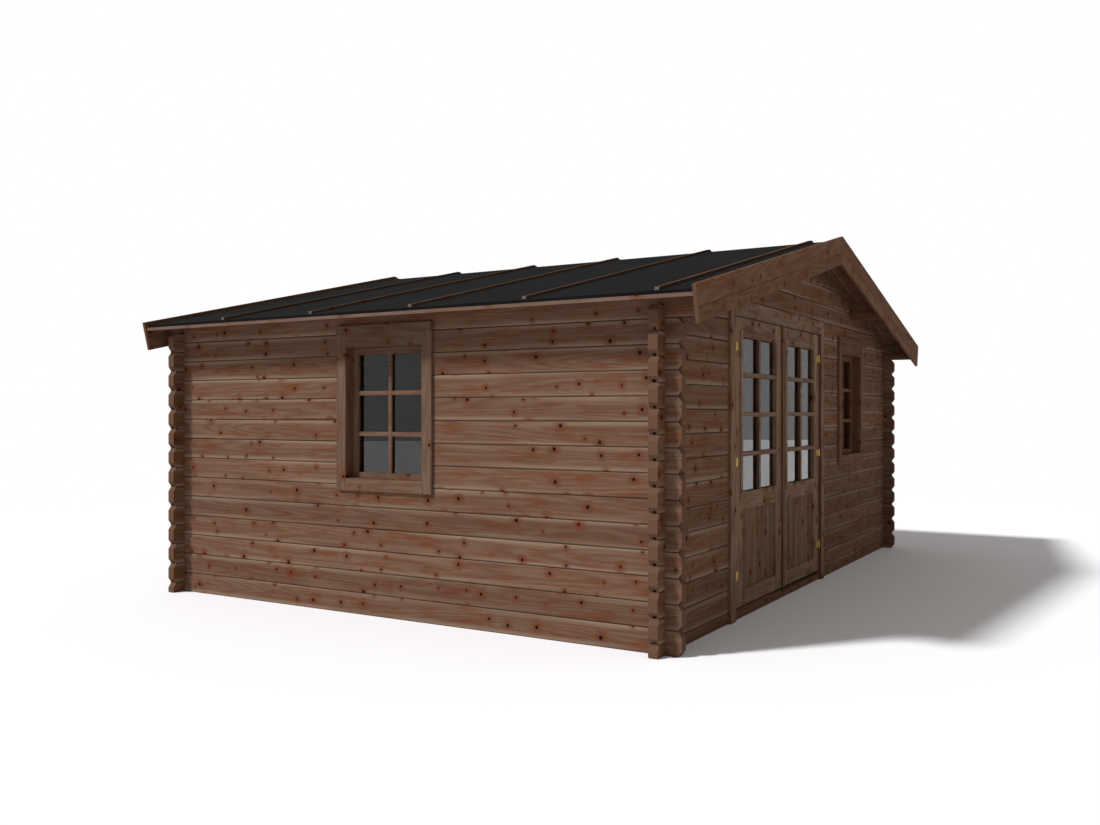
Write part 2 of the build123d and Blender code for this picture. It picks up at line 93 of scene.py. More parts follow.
def impregnated_pine(
    name, lay, light="#705642", dark="#523523", patch="#5f3620", pale="#7b6655",
    cut="#5c4334", knots=0.5, roughness=0.8,
):
    """Planed and impregnated pine. lay tells how its boards lie: a point's place along, across
    and through its board in metres, the board's number, how far the face is an end cut, and
    how near the point is to the board's long edge: 1 along it, up to 2 by a joint, where the wood
    is darkened as painted shade in the gap."""
    material, tree = new_finish(name)
    place = node(tree, "ShaderNodeTexCoord").outputs
    point = node(tree, "ShaderNodeSeparateXYZ", {0: place["Object"]}).outputs
    facing = node(tree, "ShaderNodeSeparateXYZ", {0: place["Normal"]}).outputs
    along, across, through, board, end, rim = lay(tree, point, facing)

    # Each board is another stretch of timber, 3.7 m further on.
    chance = node(tree, "ShaderNodeTexWhiteNoise", {"W": board}, noise_dimensions="1D")
    stretch = node(tree, "ShaderNodeMath", {0: board, 1: 3.7, 2: along}, operation="MULTIPLY_ADD")
    round_board = node(tree, "ShaderNodeMath", {0: across, 1: through}, operation="ADD")
    lane = node(tree, "ShaderNodeMath", {0: board, 1: 0.61, 2: round_board},
                operation="MULTIPLY_ADD")

    # Knots, 6 to 14 mm in radius: each 230 by 90 mm of board has a place for one, and knots
    # is the share of these places that has it.
    knot_grid = (0.23, 0.09, 1.0)
    cell = node(tree, "ShaderNodeVectorMath", {
        0: node(tree, "ShaderNodeCombineXYZ", {0: stretch, 1: lane}), 1: knot_grid,
    }, operation="DIVIDE")
    knot = node(tree, "ShaderNodeTexVoronoi", {"Vector": cell, "Scale": 1.0},
                voronoi_dimensions="2D").outputs
    away = node(tree, "ShaderNodeVectorMath", {
        0: node(tree, "ShaderNodeVectorMath", {0: cell, 1: knot["Position"]},
                operation="SUBTRACT"),
        1: (*knot_grid[:2], 0.0),
    }, operation="MULTIPLY")
    distance = node(tree, "ShaderNodeVectorMath", {0: away}, operation="LENGTH").outputs["Value"]
    kind = node(tree, "ShaderNodeSeparateColor", {0: knot["Color"]}).outputs
    there = node(tree, "ShaderNodeMath", {0: kind[1], 1: knots}, operation="LESS_THAN")
    radius = node(tree, "ShaderNodeMapRange", {0: kind[0], 3: 0.006, 4: 0.014})
    inside = node(tree, "ShaderNodeMath", {0: distance, 1: radius}, operation="DIVIDE")
    heart = node(tree, "ShaderNodeMath", {
        0: node(tree, "ShaderNodeMapRange", {0: inside, 1: 1.1, 2: 0.7}), 1: there,
    }, operation="MULTIPLY")
    halo = node(tree, "ShaderNodeMath", {
        0: node(tree, "ShaderNodeMapRange", {0: inside, 1: 4.5, 2: 0.8}), 1: there,
    }, operation="MULTIPLY")

    # The grain swerves round a knot. Its lines are the contours of a slow, long pattern, some
    # 8 mm apart: the real rings are half that, too fine to show.
    swerve = node(tree, "ShaderNodeMath", {
        0: node(tree, "ShaderNodeSeparateXYZ", {0: away}).outputs[1], 1: halo,
    }, operation="MULTIPLY")
    bent = node(tree, "ShaderNodeMath", {0: swerve, 1: -0.7, 2: lane}, operation="MULTIPLY_ADD")
    timber = node(tree, "ShaderNodeCombineXYZ", {0: stretch, 1: bent, 2: through})
    slow = grain(tree, timber, (0.5, 7.0, 7.0), 1.0, 0.4)
    ring = node(tree, "ShaderNodeMath", {
        0: node(tree, "ShaderNodeMath", {0: slow, 1: 26.0}, operation="MULTIPLY"), 1: 1.0,
    }, operation="PINGPONG")
    streak = grain(tree, timber, (1.6, 75.0, 75.0), 3.0, 0.6)
    figure = node(tree, "ShaderNodeMath", {
        0: streak, 1: 0.55,
        2: node(tree, "ShaderNodeMath", {0: ring, 1: 0.45}, operation="MULTIPLY"),
    }, operation="MULTIPLY_ADD")

    # Reddish heartwood in patches some 200 mm long, and paler sapwood along the edges.
    blotch = grain(tree, timber, (3.6, 12.0, 12.0), 3.0, 0.55)
    dash = grain(tree, timber, (7.0, 130.0, 130.0), 2.0)
    patchy = node(tree, "ShaderNodeMath", {
        0: dash, 1: 0.7,
        2: node(tree, "ShaderNodeMath", {0: blotch, 1: 0.35}, operation="SUBTRACT"),
    }, operation="MULTIPLY_ADD")
    red = node(tree, "ShaderNodeMapRange", {0: patchy, 1: 0.48, 2: 0.70, 4: 0.85})
    sap = grain(tree, timber, (0.7, 16.0, 16.0), 2.0)
    edge = node(tree, "ShaderNodeMath", {
        0: node(tree, "ShaderNodeMapRange", {0: sap, 1: 0.38, 2: 0.6, 4: 0.95}), 1: rim,
    }, operation="MULTIPLY")
    colour = node(tree, "ShaderNodeMix", {0: figure, 6: linear(light), 7: linear(dark)},
                  data_type="RGBA").outputs[2]
    for factor, tint in ((red, patch), (edge, pale)):
        colour = node(tree, "ShaderNodeMix", {0: factor, 6: colour, 7: linear(tint)},
                      data_type="RGBA").outputs[2]

    # Board by board the wood is a little lighter or darker, and beside a joint it is darkened as
    # painted shade in the gap.
    tone = node(tree, "ShaderNodeMapRange", {0: chance, 3: 0.88, 4: 1.12})
    joint = node(tree, "ShaderNodeMapRange", {0: rim, 1: 1.0, 2: 2.0, 3: 1.0, 4: 0.22})
    shade = node(tree, "ShaderNodeHueSaturation", {
        "Value": node(tree, "ShaderNodeMath", {0: tone, 1: joint}, operation="MULTIPLY"),
        "Color": colour,
    })

    # A knot is nearly black, or dark red in one of five, and the wood round it is reddish.
    warm = node(tree, "ShaderNodeMath", {0: halo, 1: 0.75}, operation="MULTIPLY")
    colour = node(tree, "ShaderNodeMix", {0: warm, 6: shade, 7: linear("#5c2f18")},
                  data_type="RGBA").outputs[2]
    knot_colour = node(tree, "ShaderNodeMix", {
        0: node(tree, "ShaderNodeMath", {0: kind[2], 1: 0.8}, operation="GREATER_THAN"),
        6: linear("#160906"), 7: linear("#4a120a"),
    }, data_type="RGBA").outputs[2]
    colour = node(tree, "ShaderNodeMix", {0: heart, 6: colour, 7: knot_colour},
                  data_type="RGBA").outputs[2]

    # End grain: rings 5 mm apart round the tree's heart, beside the board.
    section = node(tree, "ShaderNodeCombineXYZ", {0: across, 1: through})
    from_heart = node(tree, "ShaderNodeVectorMath", {0: section, 1: (0.02, 0.05, 0.0)},
                      operation="DISTANCE").outputs["Value"]
    year = node(tree, "ShaderNodeMath", {
        0: node(tree, "ShaderNodeMath", {0: from_heart, 1: 200.0}, operation="MULTIPLY"), 1: 1.0,
    }, operation="PINGPONG")
    sawn = node(tree, "ShaderNodeHueSaturation", {
        "Value": node(tree, "ShaderNodeMapRange", {0: year, 3: 1.08, 4: 0.86}),
        "Color": linear(cut),
    })
    colour = node(tree, "ShaderNodeMix", {0: end, 6: colour, 7: sawn},
                  data_type="RGBA").outputs[2]

    relief = node(tree, "ShaderNodeMath", {0: figure, 1: heart}, operation="SUBTRACT")
    bump = node(tree, "ShaderNodeBump", {"Strength": 0.35, "Distance": 0.0006, "Height": relief})
    surface = node(tree, "ShaderNodeBsdfPrincipled", {
        "Base Color": colour, "Roughness": roughness, "Normal": bump, "Specular IOR Level": 0.06,
    })
    node(tree, "ShaderNodeOutputMaterial", {"Surface": surface})
    return material


def dress(material, *names):
    """Gives CAD nodes their finish."""
    for name in names:
        for slot in nodes[name].material_slots:
            slot.material = material


def parted(tree, place, start, width):
    """Boards side by side from start: the number of a point's board, how far the point lies
    from the board's middle as a share of the width, and its place across in metres."""
    row = node(tree, "ShaderNodeMath", {
        0: node(tree, "ShaderNodeMath", {0: place, 1: start}, operation="SUBTRACT"), 1: width,
    }, operation="DIVIDE")
    number = node(tree, "ShaderNodeMath", {0: row}, operation="FLOOR")
    share = node(tree, "ShaderNodeMath", {
        0: node(tree, "ShaderNodeMath", {0: row}, operation="FRACT"), 1: 0.5,
    }, operation="SUBTRACT")
    aside = node(tree, "ShaderNodeMath", {0: share}, operation="ABSOLUTE")
    across = node(tree, "ShaderNodeMath", {0: share, 1: width}, operation="MULTIPLY")
    return number, aside, across


def end_cut(tree, facing, least):
    """1 on a face that cuts the grain: its normal has more than least along the board."""
    return node(tree, "ShaderNodeMath", {
        0: node(tree, "ShaderNodeMath", {0: facing}, operation="ABSOLUTE"), 1: least,
    }, operation="GREATER_THAN")


def stacked_logs(run, first_joint):
    """How logs lie in a wall: run is the axis that they follow, first_joint the lowest joint."""
    def lay(tree, point, facing):
        number, aside, across = parted(tree, point[2], first_joint, course)

        # Facing walls are other timber, and so are the front logs right of the door.
        other = 1 - run
        wall = node(tree, "ShaderNodeMath", {0: point[other], 1: 0.0}, operation="GREATER_THAN")
        past_door = node(tree, "ShaderNodeMath", {0: point[run], 1: door_middle},
                         operation="GREATER_THAN")
        under_head = node(tree, "ShaderNodeMath", {
            0: point[2], 1: door_head if run == 0 else -1.0,
        }, operation="LESS_THAN")
        in_front = node(tree, "ShaderNodeMath", {0: past_door, 1: wall}, operation="GREATER_THAN")
        side = node(tree, "ShaderNodeMath", {0: in_front, 1: under_head}, operation="MULTIPLY")
        board = node(tree, "ShaderNodeMath", {
            0: wall, 1: 31.0,
            2: node(tree, "ShaderNodeMath", {0: side, 1: 17.0, 2: number},
                    operation="MULTIPLY_ADD"),
        }, operation="MULTIPLY_ADD")
        # rim is the paler edge, and within 2 mm of the joint it goes past 1, which darkens the
        # wood there as painted shade in the gap between logs.
        rim = node(tree, "ShaderNodeMath", {
            0: node(tree, "ShaderNodeMapRange", {0: aside, 1: 0.22, 2: 0.46},
                    interpolation_type="SMOOTHSTEP"),
            1: node(tree, "ShaderNodeMapRange", {0: aside, 1: 0.474, 2: 0.486}),
        }, operation="ADD")
        return point[run], across, point[other], board, end_cut(tree, facing[run], 0.4), rim
    return lay


def painted_shade_under_the_leaves(tree, point, facing):
    """How the sill lies: as the logs do, but with its edge only below the leaves, where the dark
    edge colour is painted shade under the leaves.
    """
    *lie, rim = stacked_logs(0, course / 2)(tree, point, facing)
    beside = node(tree, "ShaderNodeMath", {
        0: node(tree, "ShaderNodeMath", {0: point[0], 1: door_middle}, operation="SUBTRACT"),
    }, operation="ABSOLUTE")
    below = node(tree, "ShaderNodeMath", {0: beside, 1: door_half}, operation="LESS_THAN")
    return *lie, node(tree, "ShaderNodeMath", {0: rim, 1: below}, operation="MULTIPLY")


gable_logs = impregnated_pine("planed log across the gable", stacked_logs(0, course / 2))
side_logs = impregnated_pine("planed log along the side", stacked_logs(1, 0.0),
                             light="#705747", dark="#52382a")
# The sill's edge colour is near-black: painted shade under the door leaves, on the sill's edges
# below them.
sill_log_with_painted_shade = impregnated_pine("planed sill log, with painted shade below the leaves", painted_shade_under_the_leaves,
                            pale="#20120b")
dress(gable_logs, "front_wall_left_logs", "front_wall_right_logs", "front_gable_logs",
      "back_wall_logs")
dress(sill_log_with_painted_shade, "door_sill_log")
dress(side_logs, "left_wall_logs", "right_wall_logs")

# Floor
# Impregnated joists on the ground carry planed, untreated spruce boards, 96 mm wide with a
# V-joint, nailed down. Their colour is the pale yellow of new wood.

floor_low, floor_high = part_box("floor_boards")
floor_count = round((floor_high.y - floor_low.y) / 0.096)
floor_board = (floor_high.y - floor_low.y) / floor_count
hairline = 0.0004
floor_chamfer = 0.002
v_joint = 0.003
joist_lane = 1.0         # a lane for each joist, and for each lath
first_lane = -5.5


def plain_run(run, width, start):
    """How boards lie side by side: run is their axis, width one board, start the first edge."""
    def lay(tree, point, facing):
        number, aside, across = parted(tree, point[1 - run], start, width)
        rim = node(tree, "ShaderNodeMapRange", {
            0: aside, 1: 0.5 - 2.2 * v_joint / width, 2: 0.5 - v_joint / width,
        })
        return point[run], across, point[2], number, end_cut(tree, facing[run], 0.7), rim
    return lay


boards_tree = bpy.data.node_groups.new("row of chamfered boards", "GeometryNodeTree")
boards_tree.interface.new_socket("Geometry", in_out="OUTPUT", socket_type="NodeSocketGeometry")
boards_tree.interface.new_socket("Count", in_out="INPUT", socket_type="NodeSocketInt")
for size in ("Pitch", "Width", "Thickness", "Length", "Chamfer"):
    boards_tree.interface.new_socket(size, in_out="INPUT", socket_type="NodeSocketFloat")
boards_tree.interface.new_socket("Finish", in_out="INPUT", socket_type="NodeSocketMaterial")
sizes = node(boards_tree, "NodeGroupInput").outputs
section = node(boards_tree, "GeometryNodeCurvePrimitiveQuadrilateral", {
    "Width": sizes["Width"], "Height": sizes["Thickness"],
})
section = node(boards_tree, "GeometryNodeFilletCurve", {
    "Curve": section, "Count": 1, "Radius": sizes["Chamfer"],
}, mode="POLY")
line = node(boards_tree, "GeometryNodeCurvePrimitiveLine", {
    "End": node(boards_tree, "ShaderNodeCombineXYZ", {2: sizes["Length"]}),
})
one_board = node(boards_tree, "GeometryNodeCurveToMesh", {
    "Curve": line, "Profile Curve": section, "Fill Caps": True,
})
row = node(boards_tree, "GeometryNodeMeshLine", {
    "Count": sizes["Count"],
    "Offset": node(boards_tree, "ShaderNodeCombineXYZ", {0: sizes["Pitch"]}),
})
repeated = node(boards_tree, "GeometryNodeInstanceOnPoints", {
    "Points": row, "Instance": one_board,
})
finished = node(boards_tree, "GeometryNodeSetMaterial", {
    "Geometry": node(boards_tree, "GeometryNodeRealizeInstances", {"Geometry": repeated}),
    "Material": sizes["Finish"],
})
node(boards_tree, "NodeGroupOutput", {"Geometry": finished})


def placed(name, content):
    """A new object in the scene."""
    made = bpy.data.objects.new(name, content)
    bpy.context.scene.collection.objects.link(made)
    return made


def mesh_of(name, points, faces, material):
    """A mesh of one material."""
    mesh = bpy.data.meshes.new(name)
    mesh.from_pydata(points, [], faces)
    mesh.materials.append(material)
    return mesh


def row_of_boards(place, finish, count, pitch, width, thickness, length, chamfer):
    """Boards side by side along x, each upright along z, as a plain mesh moved to its place."""
    carrier = placed("boards", mesh_of("boards", [], [], finish))
    modifier = carrier.modifiers.new("boards", "NODES")
    modifier.node_group = boards_tree
    wanted = {
        "Count": count, "Pitch": pitch, "Width": width, "Thickness": thickness,
        "Length": length, "Chamfer": chamfer, "Finish": finish,
    }
    for socket in boards_tree.interface.items_tree:
        if socket.in_out == "INPUT":
            modifier[socket.identifier] = wanted[socket.name]
    bpy.context.view_layer.update()
    evaluated = carrier.evaluated_get(bpy.context.evaluated_depsgraph_get())
    mesh = bpy.data.meshes.new_from_object(evaluated)
    mesh.materials.clear()
    mesh.materials.append(finish)
    mesh.transform(place)
    if place.determinant() < 0:
        mesh.flip_normals()
    bpy.data.objects.remove(carrier)
    return mesh


def one_piece(name, meshes, body):
    """Joins plain meshes into one object that rides on a body."""
    points, faces = [], []
    for mesh in meshes:
        faces += [[index + len(points) for index in face.vertices] for face in mesh.polygons]
        points += [vertex.co.copy() for vertex in mesh.vertices]
    piece = placed(name, mesh_of(name, points, faces, meshes[0].materials[0]))
    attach(piece, body)
    return piece


floor_pine = impregnated_pine(
    "planed untreated floor board", plain_run(0, floor_board, floor_low.y),
    light="#b99a72", dark="#9c7a52", patch="#a06f45", pale="#ab8d66", cut="#a88a62", knots=0.2,
)
joist_pine = impregnated_pine(
    "sawn impregnated joist", plain_run(1, joist_lane, first_lane), light="#6e6350",
    dark="#52483a", patch="#5d4630", pale="#7a6c58", cut="#5e5242", roughness=0.85,
)
dress(joist_pine, "floor_joists")
lying_boards = Matrix((
    (0, 0, 1, floor_low.x), (1, 0, 0, floor_low.y + floor_board / 2),
    (0, 1, 0, (floor_low.z + floor_high.z) / 2), (0, 0, 0, 1),
))
planks = one_piece("floor_planks", [row_of_boards(
    lying_boards, floor_pine, floor_count, floor_board, floor_board - hairline,
    floor_high.z - floor_low.z, floor_high.x - floor_low.x, floor_chamfer,
)], "shed")
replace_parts(planks, "floor_boards")

# Roof timber
# Purlins through the gables carry V-jointed deck boards, 94 mm wide, that run from ridge to
# eave. Battens, laths and bargeboards are planed pine in the colour of the logs.

ridge_pitch = math.radians(13.24)
rise = math.tan(ridge_pitch)
deck_low, deck_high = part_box("left_roof_deck")
deck_count = round((deck_high.y - deck_low.y) / 0.094)
deck_board = (deck_high.y - deck_low.y) / deck_count
deck_thickness = 0.039
purlin_lane = 1.25       # one purlin in each lane
purlin_pine = impregnated_pine("planed purlin", plain_run(1, purlin_lane, -2.5 * purlin_lane))
dress(purlin_pine, "roof_purlins")


def down_the_slope(width, start, seams=(), level=0.0):
    """How boards lie that run from ridge to eave: width one board, start its first edge in y.
    With width 0 the boards lie one above the other, parted at the seams' heights under level,
    where level is the height at the middle of the building."""
    def lay(tree, point, facing):
        run = node(tree, "ShaderNodeMath", {0: point[0]}, operation="ABSOLUTE")
        along = node(tree, "ShaderNodeMath", {0: run, 1: 1 / math.cos(ridge_pitch)},
                     operation="MULTIPLY")
        side = node(tree, "ShaderNodeMath", {0: point[0], 1: 0.0}, operation="GREATER_THAN")
        drop = node(tree, "ShaderNodeMath", {0: run, 1: rise, 2: point[2]},
                    operation="MULTIPLY_ADD")
        depth = node(tree, "ShaderNodeMath", {
            0: node(tree, "ShaderNodeMath", {0: level, 1: drop}, operation="SUBTRACT"),
            1: math.cos(ridge_pitch),
        }, operation="MULTIPLY")
        if width:
            number, aside, across = parted(tree, point[1], start, width)
            rim = node(tree, "ShaderNodeMapRange", {
                0: aside, 1: 0.5 - 0.007 / width, 2: 0.5 - 0.003 / width,
            })
            through = depth
        else:
            number = node(tree, "ShaderNodeMath", {0: point[1], 1: 0.0}, operation="GREATER_THAN")
            rim = 0.0
            for seam in seams:
                below = node(tree, "ShaderNodeMath", {0: depth, 1: seam}, operation="GREATER_THAN")
                number = node(tree, "ShaderNodeMath", {0: number, 1: below}, operation="ADD")
                gap = node(tree, "ShaderNodeMath", {0: depth, 1: seam, 2: 0.003},
                           operation="COMPARE")
                rim = node(tree, "ShaderNodeMath", {0: rim, 1: gap}, operation="MAXIMUM")
            across = depth
            through = point[1]
        board = node(tree, "ShaderNodeMath", {0: side, 1: 61.0, 2: number},
                     operation="MULTIPLY_ADD")
        return along, across, through, board, end_cut(tree, facing[0], 0.8), rim
    return lay


deck_pine = impregnated_pine("planed deck board", down_the_slope(deck_board, deck_low.y))
eave = -deck_low.x
eave_top = deck_low.z + deck_thickness / math.cos(ridge_pitch)
flat = eave - (deck_high.z - eave_top) / rise
groove = 0.004


def deck_boards(name, side, node_name):
    """Boards of one slope, each from ridge to eave, with the underside's edges bevelled. Every
    board has four sections along y, and the outer two are higher below by the groove."""
    points, faces = [], []
    for number in range(deck_count):
        start = deck_low.y + number * deck_board + hairline / 2
        stop = start + deck_board - hairline
        first = len(points)
        for y, lift in ((start, groove), (start + groove, 0), (stop - groove, 0), (stop, groove)):
            points += [(side * x, y, z) for x, z in (
                (eave, deck_low.z + lift), (0, deck_low.z + eave * rise + lift),
                (0, deck_high.z), (flat, deck_high.z), (eave, eave_top),
            )]
        rings = [[first + 5 * k + corner for corner in range(5)] for k in range(4)]
        faces += [rings[0][::-1], rings[3]]
        for near, far in zip(rings, rings[1:]):
            faces += [(near[k], near[(k + 1) % 5], far[(k + 1) % 5], far[k]) for k in range(5)]
    mesh = mesh_of(name, points, faces, deck_pine)
    if side < 0:
        mesh.flip_normals()
    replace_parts(one_piece(name, [mesh], "shed"), node_name)


deck_boards("left_deck_planks", -1, "left_roof_deck")
deck_boards("right_deck_planks", 1, "right_roof_deck")
first_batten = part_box("left_roof_battens")[0].y
batten_half = 0.014
batten_pitch = 0.851
batten_pine = impregnated_pine(
    "planed batten", down_the_slope(batten_pitch, first_batten + batten_half - batten_pitch / 2),
    light="#523f32", dark="#402f23", patch="#45301f", cut="#605c56",
)
dress(batten_pine, "left_roof_battens", "right_roof_battens")
lath_pine = impregnated_pine(
    "planed eave lath", plain_run(1, joist_lane, first_lane), light="#6b574c", dark="#5a463c",
    patch="#5f4435", pale="#756051",
)
dress(lath_pine, "eave_laths")
upper_barge = 0.125
barge_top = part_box("front_left_bargeboard")[1].z
barge_pine = impregnated_pine(
    "planed bargeboard", down_the_slope(0, 0, seams=(upper_barge,), level=barge_top),
    pale="#2c1710",
)
dress(barge_pine, "front_left_bargeboard", "front_right_bargeboard",
      "rear_left_bargeboard", "rear_right_bargeboard")

# Roofing felt
# Bitumen felt faced with charcoal mineral grit, a sheet of 851 mm between two battens. It is
# dull and slightly uneven. The real grit is 1 mm, drawn 4 mm so that it shows.

felt, tree = new_finish("bitumen felt with mineral grit")
place = node(tree, "ShaderNodeTexCoord").outputs["Object"]
grit = node(tree, "ShaderNodeTexNoise", {"Vector": place, "Scale": 260.0, "Detail": 2.0})
cloud = node(tree, "ShaderNodeTexNoise", {"Vector": place, "Scale": 3.0, "Detail": 3.0})
speck = node(tree, "ShaderNodeMix", {
    0: node(tree, "ShaderNodeMapRange", {0: grit, 1: 0.35, 2: 0.65}),
    6: linear("#0e0d0d"), 7: linear("#1b1a19"),
}, data_type="RGBA")
worn = node(tree, "ShaderNodeHueSaturation", {
    "Value": node(tree, "ShaderNodeMapRange", {0: cloud, 1: 0.3, 2: 0.7, 3: 0.85, 4: 1.15}),
    "Color": speck.outputs[2],
})
bump = node(tree, "ShaderNodeBump", {"Strength": 0.5, "Distance": 0.001, "Height": grit})
node(tree, "ShaderNodeOutputMaterial", {"Surface": node(tree, "ShaderNodeBsdfPrincipled", {
    "Base Color": worn, "Roughness": 0.92, "Specular IOR Level": 0.04, "Normal": bump,
})})
dress(felt, "left_roof_felt", "right_roof_felt")

# Windows
# Boxed pine frames with planted casings and a drip rail, and a sash of stiles and rails.
# Bars 30 mm wide, let into the sash, divide each pane in two by three.

bar_width = 0.030
bar_chamfer = 0.003


def upright_between(run, left, right, head=9.0, step=0.0):
    """How a frame's boards lie: upright outside left and right, level between and over head.
    step picks other timber for the upright ones."""
    def lay(tree, point, facing):
        middle = (left + right) / 2
        aside = node(tree, "ShaderNodeMath", {0: point[run], 1: middle}, operation="SUBTRACT")
        apart = node(tree, "ShaderNodeMath", {0: aside}, operation="ABSOLUTE")
        beside = node(tree, "ShaderNodeMath", {0: apart, 1: (right - left) / 2},
                      operation="GREATER_THAN")
        under = node(tree, "ShaderNodeMath", {0: point[2], 1: head}, operation="LESS_THAN")
        upright = node(tree, "ShaderNodeMath", {0: beside, 1: under}, operation="MULTIPLY")
        along = node(tree, "ShaderNodeMix", {0: upright, 2: point[run], 3: point[2]})
        across = node(tree, "ShaderNodeMix", {0: upright, 2: point[2], 3: apart})
        right_hand = node(tree, "ShaderNodeMath", {0: aside, 1: 0.0}, operation="GREATER_THAN")

        # Level boards are other timber each 0.45 m up, and the upright ones left and right.
        storey = node(tree, "ShaderNodeMath", {
            0: node(tree, "ShaderNodeMath", {0: point[2], 1: 2.2}, operation="MULTIPLY"),
        }, operation="ROUND")
        pair = node(tree, "ShaderNodeMath", {0: right_hand, 1: 2.0, 2: 5.0 + step},
                    operation="MULTIPLY_ADD")
        board = node(tree, "ShaderNodeMix", {0: upright, 2: storey, 3: pair})
        end = end_cut(tree, node(tree, "ShaderNodeMix", {
            0: upright, 2: facing[run], 3: facing[2],
        }), 0.8)
        return along, across, point[1 - run], board, end, 0.0
    return lay


# One pane stands for double glazing. The second pane reflects too, so the IOR is above the
# 1.52 of float glass. It looks clear, a little grey, and mirrors what stands round it.
glass, tree = new_finish("clear float glass")
node(tree, "ShaderNodeOutputMaterial", {"Surface": node(tree, "ShaderNodeBsdfPrincipled", {
    "Base Color": linear("#939795"), "Roughness": 0.0, "IOR": 1.58, "Transmission Weight": 1.0,
})})
dress(glass, "left_window_glass", "right_window_glass", "front_window_glass",
      "left_leaf_glass", "right_leaf_glass")


def glazing_bars(name, wall, left, right, low, high, rows, deep, finish, body):
    """Bars of one pane: an upright one in the middle and level ones on both sides of it. wall
    is a matrix from (across, out of the wall, up) to the model; deep gives where the bars
    start and end behind the wall's face, before the glass and behind it."""
    middle = (left + right) / 2
    gap = (high - low - (rows - 1) * bar_width) / rows
    first = low + gap + bar_width / 2
    turned = Matrix.Rotation(math.pi / 2, 4, "Y") @ Matrix.Scale(-1, 4, (1, 0, 0))
    meshes = []
    for front, back in deep:
        thick = back - front
        out = -(front + back) / 2
        upright = wall @ Matrix.Translation((middle, out, low))
        meshes.append(row_of_boards(
            upright, finish, 1, 1.0, bar_width, thick, high - low, bar_chamfer,
        ))
        for start, stop in ((left, middle - bar_width / 2), (middle + bar_width / 2, right)):
            lying = wall @ Matrix.Translation((start, out, first)) @ turned
            meshes.append(row_of_boards(
                lying, finish, rows - 1, gap + bar_width, bar_width, thick, stop - start,
                bar_chamfer,
            ))
    return one_piece(name, meshes, body)


sash_face = 0.055
sash_glass = 0.075
sash_stile = 0.045
bottom_rail = 0.036
casing_step = 0.004
side_casing_head = 1.885
front_casing_head = 1.9575
window_rows = 3
window_bars = (          # from where to where behind the wall's face
    (sash_face + 0.002, sash_glass),
    (sash_glass + 0.004, sash_glass + 0.016),
)
low_left, high_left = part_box("left_window_sash")
low_right, high_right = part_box("right_window_sash")
low_window, high_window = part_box("front_window_sash")

side_frames = impregnated_pine(
    "planed window frame of a side wall", upright_between(1, low_left.y, high_left.y),
    light="#654b3a", dark="#4f3423",
)
side_casings = impregnated_pine(
    "planed casing of a side wall",
    upright_between(1, low_left.y - casing_step, high_left.y + casing_step, side_casing_head),
    light="#6c5a4b", dark="#50392b", patch="#5c3b29",
)
side_sashes = impregnated_pine(
    "planed sash of a side wall",
    upright_between(1, low_left.y + sash_stile, high_left.y - sash_stile),
    light="#6c5747", dark="#533c2e", patch="#5c3b29",
)
front_frames = impregnated_pine(
    "planed front window frame", upright_between(0, low_window.x, high_window.x),
    light="#654b3a", dark="#4f3423",
)
front_casings = impregnated_pine(
    "planed front window casing",
    upright_between(0, low_window.x - casing_step, high_window.x + casing_step,
                    front_casing_head),
)
front_sashes = impregnated_pine(
    "planed front window sash",
    upright_between(0, low_window.x + sash_stile, high_window.x - sash_stile),
    light="#694f3d", dark="#523625",
)
dress(side_frames, "left_window_frame", "right_window_frame")
dress(side_casings, "left_window_casing", "right_window_casing")
dress(side_sashes, "left_window_sash", "right_window_sash")
dress(front_frames, "front_window_frame")
dress(front_casings, "front_window_casing")
dress(front_sashes, "front_window_sash")

leaf_thickness = 0.040
leaf_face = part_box("left_leaf_frame")[1].y - leaf_thickness
facing_front = Matrix(((1, 0, 0, 0), (0, -1, 0, leaf_face), (0, 0, 1, 0), (0, 0, 0, 1)))
facing_left = Matrix((
    (0, -1, 0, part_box("left_wall_logs")[0].x), (-1, 0, 0, 0), (0, 0, 1, 0), (0, 0, 0, 1),
))
facing_right = Matrix((
    (0, 1, 0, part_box("right_wall_logs")[1].x), (1, 0, 0, 0), (0, 0, 1, 0), (0, 0, 0, 1),
))
sunk = 0.0003
for name, wall, low, high, finish in (
    ("left_window_bars", facing_left, (low_left.y, low_left.z), (high_left.y, high_left.z),
     side_sashes),
    ("right_window_bars", facing_right, (low_right.y, low_right.z), (high_right.y, high_right.z),
     side_sashes),
    ("front_window_bars", facing_front, (low_window.x, low_window.z),
     (high_window.x, high_window.z), front_sashes),
):
    glazing_bars(name, wall, low[0] + sash_stile - sunk, high[0] - sash_stile + sunk,
                 low[1] + bottom_rail - sunk, high[1] - sash_stile + sunk, window_rows,
                 window_bars, finish, "shed")

# Double door
# A framed casing, and two leaves of stiles and rails with a raised frame round the pane,
# boarded below. Bars divide each pane in two by four. Brass butt hinges, three a leaf, are
# screwed on outside.

stile = 0.125
raised_frame = 0.010
door_rows = 4
door_bars = ((-0.006, 0.018), (0.022, 0.036))     # from where to where behind the leaf's face
low_frame, high_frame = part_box("door_frame")
door_post = 0.042
door_stop = 0.024
door_lintel = 1.99
frame_pine = impregnated_pine(
    "planed door frame",
    upright_between(0, low_frame.x + door_post + door_stop, high_frame.x - door_post - door_stop,
                    door_lintel),
    light="#79604a", dark="#5d4331",
)
low_casing, high_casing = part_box("door_casing")
casing_board = 0.090
casing_pine = impregnated_pine(
    "planed door casing",
    upright_between(0, low_casing.x + casing_board, high_casing.x - casing_board, step=3.0),
    light="#806a55", dark="#624b3b", patch="#5f3b28",
)
dress(frame_pine, "door_frame")
dress(casing_pine, "door_casing")

